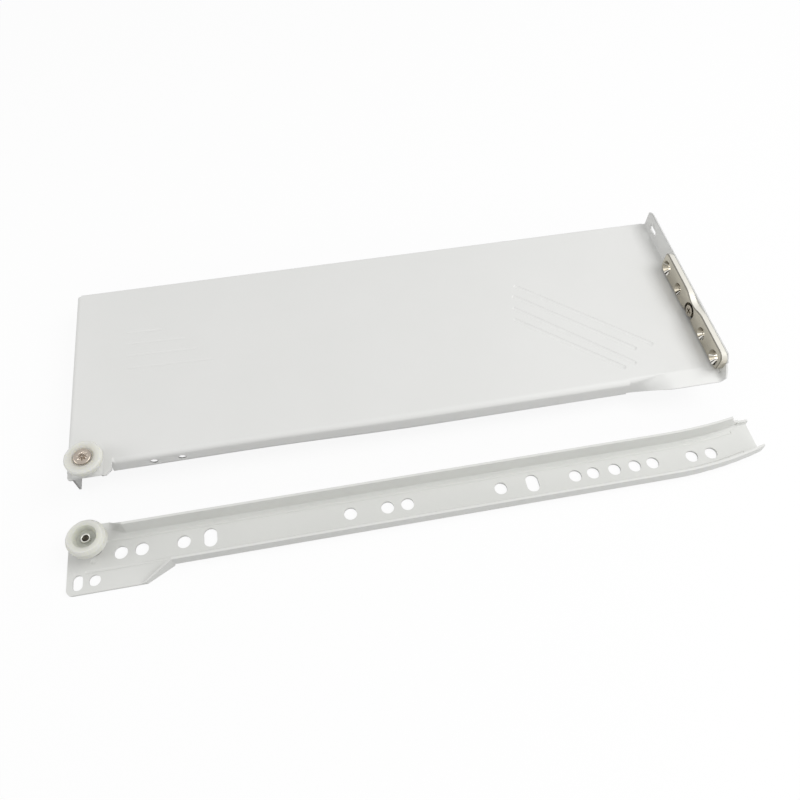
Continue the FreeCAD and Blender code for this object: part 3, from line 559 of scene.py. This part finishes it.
def make_bracket():
    """The nickel bracket: rounded plate with a waist at the screw and five holes."""
    mesh = bmesh.new()
    rings = []
    for depth, outer, waist, draw_in in BRACKET_RINGS:
        ring = []
        for along, out in inset(bracket_outline(outer, waist), draw_in):
            ring.append(mesh.verts.new((BRACKET_FACE + depth * MM, SCREW_ROW + along * MM,
                                        WALL_FACE + out * MM)))
        rings.append(ring)
    close_rings(mesh, rings)
    # Countersink slots: painted glints, brown facets, painted shade
    plate = new_piece("bracket_plate", mesh, nickel_plate(),
                      metal("sink_painted_glint", PAINTED_GLINT_NICKEL, 0.12, 0.22, 420),
                      metal("sink_brown", SINK_BROWN, 0.15, 0.3, 420),
                      metal("sink_painted_shade", PAINTED_SHADE_NICKEL, 0.2, 0.3, 420))
    cutters = bmesh.new()
    for along in END_HOLES:
        hole_cutter(cutters, along, countersink(*END_SINK), painted_streaks=True)
    for along in MID_HOLES:
        hole_cutter(cutters, along, countersink(*MID_SINK), painted_streaks=True)
    hole_cutter(cutters, 0, SCREW_SEAT)
    cut_away(plate, new_piece("bracket_holes", cutters))
    finish_mesh(plate, "bracket", 30)
    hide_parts("front_bracket")


def on_wall(place):
    """Whether a point lies on the wall's face or in the grooves pressed into it."""
    if abs(place.z - WALL_FACE) < SAME_HEIGHT:
        return True
    return WALL_HEIGHTS[0] < place.z < WALL_HEIGHTS[1] and WALL_ROWS[0] < place.y < WALL_ROWS[1]


def plain_wall(mesh):
    """Join the wall's face into one flat face, without the grooves of the CAD."""
    bmesh.ops.remove_doubles(mesh, verts=mesh.verts, dist=JOIN_REACH)
    plain = []
    for face in mesh.faces:
        if face.normal.z > 0.5 and all(on_wall(vertex.co) for vertex in face.verts):
            plain.append(face)
    bmesh.ops.dissolve_faces(mesh, faces=plain)


def slice_along(mesh):
    """Cut the side's faces across its length, so that the flange can bow."""
    for step in SLICES:
        everything = list(mesh.verts) + list(mesh.edges) + list(mesh.faces)
        bmesh.ops.bisect_plane(mesh, geom=everything, plane_co=(SLICE_START + step * SLICE_STEP, 0, 0),
                               plane_no=(1, 0, 0))


def deepen_flanges(mesh):
    """Make the base flange deeper with a slight bow, and the front flange and its top corner taller."""
    for vertex in mesh.verts:
        x, y, z = vertex.co
        grow = min(max((x - BOW_START) / BOW_RUN, 0.0), 1.0)
        grow = grow * grow * (3 - 2 * grow)
        if y < BASE_ROW and BASE_ENDS[0] < x < BASE_ENDS[1]:
            low = min((BASE_ROW - y) / BASE_ROUND, 1.0)
            vertex.co.y -= BASE_OUTWARD * MM * grow * low
            if z < BASE_LIP:
                vertex.co.z -= (BASE_DEEPER + BASE_BOW * grow) * MM
        if x > FRONT_START and z > FRONT_LIP:
            vertex.co.z += FRONT_DEEPER * MM
        if x > FRONT_START and y > CORNER_ROW and CORNER_HEIGHTS[0] < z < CORNER_HEIGHTS[1]:
            vertex.co.z += CORNER_HIGHER * MM


def on_side(along, up, out):
    """A point of the drawer side, from its lower rear corner, in mm."""
    return (SIDE_CORNER[0] + along * MM, SIDE_CORNER[1] + up * MM, SIDE_CORNER[2] + out * MM)


def block(mesh, alongs, ups, outs):
    """A box on the drawer side, to cut with."""
    corners = [(alongs[0], ups[0]), (alongs[1], ups[0]), (alongs[1], ups[1]), (alongs[0], ups[1])]
    close_rings(mesh, [[mesh.verts.new(on_side(a, u, out)) for a, u in corners] for out in outs])


def round_bar(mesh, start, finish, radius, height):
    """A round-ended bar that lies over the wall, to press a soft groove with."""
    way = Vector((finish[0] - start[0], finish[1] - start[1], 0))
    length = way.length
    way.normalize()
    across = Vector((-way.y, way.x, 0))
    rings = []
    steps = [-math.cos(math.radians(angle)) * radius for angle in BAR_END_ANGLES] + [0.0]
    stops = [(s, math.sqrt(radius * radius - s * s)) for s in steps]
    stops += [(length - s, r) for s, r in reversed(stops)]
    for along, r in stops:
        ring = []
        for i in range(BAR_STEPS):
            angle = 2 * math.pi * i / BAR_STEPS
            place = Vector((start[0], start[1], height)) + way * along + across * r * math.cos(angle)
            ring.append(mesh.verts.new(on_side(place.x, place.y, place.z + r * math.sin(angle))))
        rings.append(ring)
    close_rings(mesh, rings)


def side_shell():
    """The drawer side from its CAD mesh, with deeper flanges, soft grooves and room for its foot."""
    mesh = bmesh.new()
    mesh.from_mesh(nodes["side_panel"].data)
    plain_wall(mesh)
    slice_along(mesh)
    deepen_flanges(mesh)
    shell = new_piece("side_shell", mesh, powder_coat("side_coat"))
    tools = bmesh.new()
    for start, finish, depth in GROOVES:
        round_bar(tools, start, finish, GROOVE_ROUND, GROOVE_ROUND - depth)
    block(tools, (FOOT_START, FOOT_END), (-4.0, FOOT_ROW), (-16.0, 1.0))
    cut_away(shell, new_piece("side_cutters", tools))
    return shell


def foot_section(fold, width):
    """Section of the low corner, folded down by an angle, as heights up and out, in mm."""
    outer = []
    inner = []
    for step in range(BEND_STEPS):
        angle = fold * step / (BEND_STEPS - 1)
        side = (FOOT_ROW - FOOT_BEND * math.sin(angle), -FOOT_BEND * (1 - math.cos(angle)))
        outer.append(side)
        inner.append((side[0] + math.sin(angle), side[1] - math.cos(angle)))
    bend = outer[-1]
    for reach in (0.35, 0.7, 1.0):
        run = width * reach
        side = (bend[0] - run * math.cos(fold), bend[1] - run * math.sin(fold))
        outer.append(side)
        inner.append((side[0] + math.sin(fold), side[1] - math.cos(fold)))
    return outer + list(reversed(inner))


def foot_tab(mesh):
    """The base flange opening out into a tab that slopes a little."""
    rings = []
    folded = foot_section(math.radians(90), FOLDED_WIDTH)
    flat = foot_section(FOOT_DROP, FLAT_WIDTH)
    for along in [FOOT_START + step for step in range(0, 25, 2)] + [315, 324, FOOT_END]:
        part = min((along - FOOT_START) / FOOT_OPENING, 1.0)
        part = part * part * (3 - 2 * part)
        ring = [(u * (1 - part) + fu * part, z * (1 - part) + fz * part)
                for (u, z), (fu, fz) in zip(folded, flat)]
        rings.append([mesh.verts.new(on_side(along, u, z)) for u, z in ring])
    close_rings(mesh, rings)


def foot_fold(mesh):
    """The tab's end, folded up towards the front flange and cut back round to a corner."""
    rings = []
    for up, top, inner_r in FOOT_FOLDS:
        outer_r = inner_r + 1.0
        fold_a = FLANGE_INSIDE - inner_r
        fold_z = inner_r + (up - FOOT_ROW + TAB_LAP) * math.tan(FOOT_DROP)
        peak = max(top, LOWEST_PEAK) + fold_z - inner_r
        turn = min(1.0, top / FULL_FOLD_TOP)
        section = []
        for step in range(BEND_STEPS):
            angle = math.radians(step * BEND_ANGLE) * turn
            section.append((fold_a + inner_r * math.sin(angle), fold_z - inner_r * math.cos(angle)))
        section.append((FLANGE_INSIDE, peak))
        section.append((FLANGE_OUTSIDE, peak))
        for step in reversed(range(BEND_STEPS)):
            angle = math.radians(step * BEND_ANGLE) * turn
            section.append((fold_a + outer_r * math.sin(angle), fold_z - outer_r * math.cos(angle)))
        rings.append([mesh.verts.new(on_side(a, up, z)) for a, z in section])
    close_rings(mesh, rings)


def make_front_foot(coat):
    """The low front corner of the drawer side, below the bracket."""
    mesh = bmesh.new()
    foot_tab(mesh)
    foot_fold(mesh)
    foot = new_piece("front_foot", mesh, coat)
    finish_mesh(foot, "side", 32)


def make_side():
    shell = side_shell()
    finish_mesh(shell, "side", 55)
    even = shell.modifiers.new("even_normals", "WEIGHTED_NORMAL")
    even.keep_sharp = True
    even.weight = 80
    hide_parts("side_panel")
    make_front_foot(shell.data.materials[0])


def dress_all():
    """Better materials for the CAD pieces that stay, and new pieces for the rest."""
    dress("runner_rail", powder_coat("runner_coat", RUNNER_COAT, RUNNER_SHADE))
    dress("runner_roller", nylon("runner_nylon", RUNNER_AXIS, 3.0, NYLON_HUB))
    dress("side_roller", nylon("side_nylon", SIDE_AXIS, 3.6, SIDE_HUB))
    dress("bracket_screw", metal("screw_plating", SCREW_STEEL, 0.2, 0.34, 420, 0.5))
    dress("runner_spacer", metal("spacer_steel", BUSH_STEEL, 0.35, 0.5, 400))
    make_side()
    make_side_rivet()
    make_runner_rivet()
    make_bracket()


def aimed(name, data, place, turn):
    """Put a lamp or camera in the scene at a place and turn."""
    obj = bpy.data.objects.new(name, data)
    obj.location = place
    obj.rotation_mode = "QUATERNION"
    obj.rotation_quaternion = turn
    bpy.context.scene.collection.objects.link(obj)
    return obj


def make_lamps():
    for name, place, aim, width, power in LAMPS:
        data = bpy.data.lights.new(name, "AREA")
        data.shape = "SQUARE"
        data.size = width
        data.energy = power
        aimed(name, data, place, (Vector(aim) - Vector(place)).to_track_quat("-Z", "Y"))


def seen_directly(tree):
    """1 for rays that show a background: from the camera, a gloss or a clear body."""
    path = tree.nodes.new("ShaderNodeLightPath")
    total = path.outputs["Is Camera Ray"]
    for name in ("Is Glossy Ray", "Is Transmission Ray"):
        node = tree.nodes.new("ShaderNodeMath")
        node.operation = "MAXIMUM"
        tree.links.new(total, node.inputs[0])
        tree.links.new(path.outputs[name], node.inputs[1])
        total = node.outputs["Value"]
    return total


def mixed_shader(tree, share, first, second):
    """Mix two shaders; the share is a number or a socket."""
    node = tree.nodes.new("ShaderNodeMixShader")
    if isinstance(share, float):
        node.inputs["Fac"].default_value = share
    else:
        tree.links.new(share, node.inputs["Fac"])
    tree.links.new(first, node.inputs[1])
    tree.links.new(second, node.inputs[2])
    return node.outputs[0]


def diffuse(tree, colour):
    node = tree.nodes.new("ShaderNodeBsdfDiffuse")
    node.inputs["Color"].default_value = colour
    return node.outputs[0]


def make_floor():
    """A white floor that keeps a faint shadow of the object, and is duller to the light it throws back."""
    bpy.ops.mesh.primitive_plane_add(size=FLOOR_SIZE, location=FLOOR_PLACE)
    floor = bpy.context.object
    floor.name = "floor"
    material = new_material("floor_white")
    tree = material.node_tree
    tree.nodes.remove(shader_of(material))
    glow = tree.nodes.new("ShaderNodeEmission")
    glow.inputs["Strength"].default_value = 1.0
    white = mixed_shader(tree, FLOOR_GLOW, diffuse(tree, FLOOR_SEEN), glow.outputs[0])
    surface = mixed_shader(tree, seen_directly(tree), diffuse(tree, FLOOR_THROW), white)
    tree.links.new(surface, tree.nodes["Material Output"].inputs["Surface"])
    floor.data.materials.append(material)


def make_world():
    """A pale room: white where it is seen, plain to everything else."""
    world = bpy.data.worlds.new("studio")
    bpy.context.scene.world = world
    world.use_nodes = True
    tree = world.node_tree
    background = tree.nodes["Background"]
    background.inputs["Color"].default_value = ROOM_WHITE
    level = tree.nodes.new("ShaderNodeMapRange")
    level.inputs["To Min"].default_value = ROOM_LIGHT
    level.inputs["To Max"].default_value = 1.0
    tree.links.new(seen_directly(tree), level.inputs["Value"])
    tree.links.new(level.outputs["Result"], background.inputs["Strength"])


def make_camera():
    data = bpy.data.cameras.new("camera")
    data.lens = CAMERA_LENS
    data.sensor_width = SENSOR_WIDTH
    data.clip_start = CLIP_NEAR
    data.clip_end = CLIP_FAR
    level = (CAMERA_AIM - CAMERA_PLACE).to_track_quat("-Z", "Y")
    turn = level @ Quaternion((0, 0, 1), CAMERA_ROLL)
    bpy.context.scene.camera = aimed("camera", data, CAMERA_PLACE, turn)


dress_all()
make_floor()
make_world()
make_lamps()
make_camera()
bpy.context.scene.view_settings.view_transform = "Standard"
